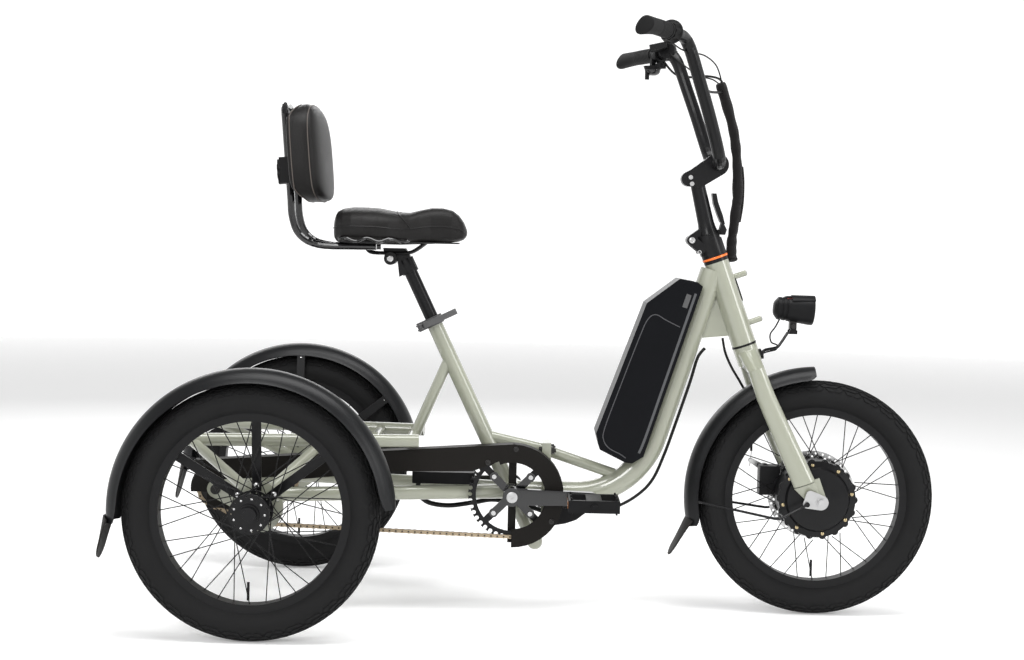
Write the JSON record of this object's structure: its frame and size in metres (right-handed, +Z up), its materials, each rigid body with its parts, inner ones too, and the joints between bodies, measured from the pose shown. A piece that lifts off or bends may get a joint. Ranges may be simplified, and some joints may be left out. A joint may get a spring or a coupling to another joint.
{
  "type": "electric adult tricycle",
  "caption": "Step-through adult tricycle with folding stem, chain drive to a rear axle, front hub motor, fenders and a backrest saddle.",
  "frame": {"origin": "on the floor, under the middle of the trike's bounding box", "axes": "+X forwards, +Y to the rider's left, +Z up"},
  "size_m": [1.6276, 0.834, 1.178],
  "materials": {
    "frame_paint": "gloss",
    "black_paint": "satin",
    "black_alloy": "satin",
    "steel": "satin",
    "dark_steel": "satin",
    "chain_steel": "satin",
    "plastic": "matte",
    "tyre": "matte",
    "rubber": "matte",
    "vinyl": "satin",
    "sleeve_fabric": "matte"
  },
  "bodies": {
    "frame": {"front_frame": "frame_paint", "rear_frame": "frame_paint", "rear_deck": "frame_paint", "frame_bolts": "steel", "headset": "black_alloy", "bearings": "steel", "seat_collar": "black_alloy", "chain_guard": "plastic", "drive_chains": "chain_steel", "rear_fenders": "plastic", "rear_fender_stays": "black_paint", "battery_rail": "black_alloy", "controller": "plastic", "frame_cables": "rubber"},
    "steering": {"fork": "frame_paint", "front_fender": "plastic", "front_fender_stays": "black_paint", "front_axle": "steel", "brake_caliper": "black_alloy", "headlight_bracket": "black_paint", "stem_base": "black_alloy", "fork_cables": "rubber"},
    "stem": {"stem_post": "black_alloy", "handlebar": "black_alloy", "grips": "rubber", "display": "plastic", "controls": "plastic", "cable_sleeve": "sleeve_fabric"},
    "front_wheel": {"tyre_front": "tyre", "rim_front": "black_alloy", "motor_hub": "black_alloy", "brake_rotor": "steel"},
    "rear_wheel_left": {"tyre_rear_left": "tyre", "rim_rear_left": "black_alloy", "hub_rear_left": "black_alloy"},
    "rear_wheel_right": {"tyre_rear_right": "tyre", "rim_rear_right": "black_alloy", "hub_rear_right": "black_alloy"},
    "crank": {"chainring": "dark_steel", "cranks": "black_paint"},
    "pedal_left": {"pedal_left": "plastic"},
    "pedal_right": {"pedal_right": "plastic"},
    "jackshaft": {"jackshaft": "black_alloy"},
    "jackshaft_sprocket": {"jackshaft_sprocket": "dark_steel"},
    "idler": {"idler": "plastic"},
    "throttle": {"throttle": "rubber"},
    "brake_lever": {"brake_lever": "black_alloy"},
    "caliper_arm": {"caliper_arm": "steel"},
    "stem_latch": {"stem_latch": "black_alloy"},
    "seat": {"saddle": "vinyl", "saddle_rails": "black_paint", "seatpost": "black_alloy", "backrest_tube": "black_paint"},
    "backrest": {"backrest_pad": "vinyl", "backrest_clamp": "plastic"},
    "backrest_knob": {"backrest_knob": "plastic"},
    "seat_lever": {"seat_lever": "black_alloy"},
    "headlight": {"headlight": "plastic"},
    "battery": {"battery": "plastic"},
    "display_button": {"display_button": "steel"}
  },
  "joints": [
    {"name": "steering", "type": "hinge", "parent": "frame", "child": "steering", "pos_m": [0.421, 0, 0.5515], "axis": [-0.3437, 0, 0.9391], "range_deg": [-50, 50]},
    {"name": "stem_fold", "type": "hinge", "parent": "steering", "child": "stem", "pos_m": [0.3075, 0, 0.76], "axis": [0, -1, 0], "range_deg": [0, 75]},
    {"name": "stem_latch_turn", "type": "hinge", "parent": "stem", "child": "stem_latch", "pos_m": [0.3695, 0, 0.779], "axis": [0, 1, 0], "range_deg": [0, 80]},
    {"name": "front_wheel_spin", "type": "hinge", "parent": "steering", "child": "front_wheel", "pos_m": [0.5755, 0, 0.24], "axis": [0, 1, 0], "continuous": true},
    {"name": "rear_wheel_left_spin", "type": "hinge", "parent": "frame", "child": "rear_wheel_left", "pos_m": [-0.5245, 0.375, 0.24], "axis": [0, 1, 0], "continuous": true},
    {"name": "rear_wheel_right_spin", "type": "hinge", "parent": "frame", "child": "rear_wheel_right", "pos_m": [-0.5245, -0.375, 0.24], "axis": [0, 1, 0], "continuous": true, "deforming": ["drive_chains"]},
    {"name": "crank_spin", "type": "hinge", "parent": "frame", "child": "crank", "pos_m": [-0.0445, 0, 0.24], "axis": [0, 1, 0], "continuous": true, "deforming": ["drive_chains"]},
    {"name": "pedal_left_spin", "type": "hinge", "parent": "crank", "child": "pedal_left", "pos_m": [-0.2045, 0.16, 0.24], "axis": [0, 1, 0], "continuous": true},
    {"name": "pedal_right_spin", "type": "hinge", "parent": "crank", "child": "pedal_right", "pos_m": [0.1155, -0.16, 0.24], "axis": [0, 1, 0], "continuous": true},
    {"name": "jackshaft_spin", "type": "hinge", "parent": "frame", "child": "jackshaft", "pos_m": [-0.6365, 0, 0.242], "axis": [0, 1, 0], "continuous": true},
    {"name": "jackshaft_sprocket_spin", "type": "hinge", "parent": "frame", "child": "jackshaft_sprocket", "pos_m": [-0.6365, -0.065, 0.242], "axis": [0, 1, 0], "continuous": true},
    {"name": "idler_spin", "type": "hinge", "parent": "frame", "child": "idler", "pos_m": [-0.5525, -0.072, 0.19], "axis": [0, 1, 0], "continuous": true},
    {"name": "throttle_twist", "type": "hinge", "parent": "stem", "child": "throttle", "pos_m": [0.23456, -0.23294, 1.155], "axis": [-0.4116, -0.9114, 0], "range_deg": [0, 60], "stiffness_Nm_per_rad": 0.2},
    {"name": "brake_lever_pull", "type": "hinge", "parent": "stem", "child": "brake_lever", "pos_m": [0.27842, 0.21599, 1.1535], "axis": [0, 0, 1], "range_deg": [0, 12], "stiffness_Nm_per_rad": 4},
    {"name": "caliper_arm_turn", "type": "hinge", "parent": "steering", "child": "caliper_arm", "pos_m": [0.4815, 0.075, 0.286], "axis": [0, 1, 0], "range_deg": [0, 14]},
    {"name": "seat_lever_turn", "type": "hinge", "parent": "frame", "child": "seat_lever", "pos_m": [-0.23821, -0.028, 0.57094], "axis": [0.4368, 0, -0.8996], "range_deg": [0, 150]},
    {"name": "seatpost_slide", "type": "slide", "parent": "frame", "child": "seat", "axis": [-0.4368, 0, 0.8996], "range_m": [-0.02, 0.08]},
    {"name": "backrest_slide", "type": "slide", "parent": "seat", "child": "backrest", "axis": [-0.0854, 0, 0.9963], "range_m": [-0.02, 0.05]},
    {"name": "backrest_knob_turn", "type": "hinge", "parent": "backrest", "child": "backrest_knob", "pos_m": [-0.5065, 0, 0.882], "axis": [0.9963, 0, 0.0854], "continuous": true},
    {"name": "headlight_tilt", "type": "hinge", "parent": "steering", "child": "headlight", "pos_m": [0.5195, 0, 0.59], "axis": [0, 1, 0], "range_deg": [-15, 15]},
    {"name": "battery_slide", "type": "slide", "parent": "frame", "child": "battery", "axis": [0.304, 0, 0.9527], "range_m": [0, 0.02]},
    {"name": "display_button_press", "type": "slide", "parent": "stem", "child": "display_button", "axis": [0.2059, -0.0289, -0.9781], "range_m": [0, 0.0015], "stiffness_N_per_m": 800}
  ],
  "couplings": [
    {"joint": "jackshaft_sprocket_spin", "follows": "crank_spin", "ratio": 2.1},
    {"joint": "idler_spin", "follows": "crank_spin", "ratio": 4.2},
    {"joint": "jackshaft_spin", "follows": "rear_wheel_right_spin", "ratio": 1},
    {"joint": "caliper_arm_turn", "follows": "brake_lever_pull", "ratio": 1.1}
  ]
}
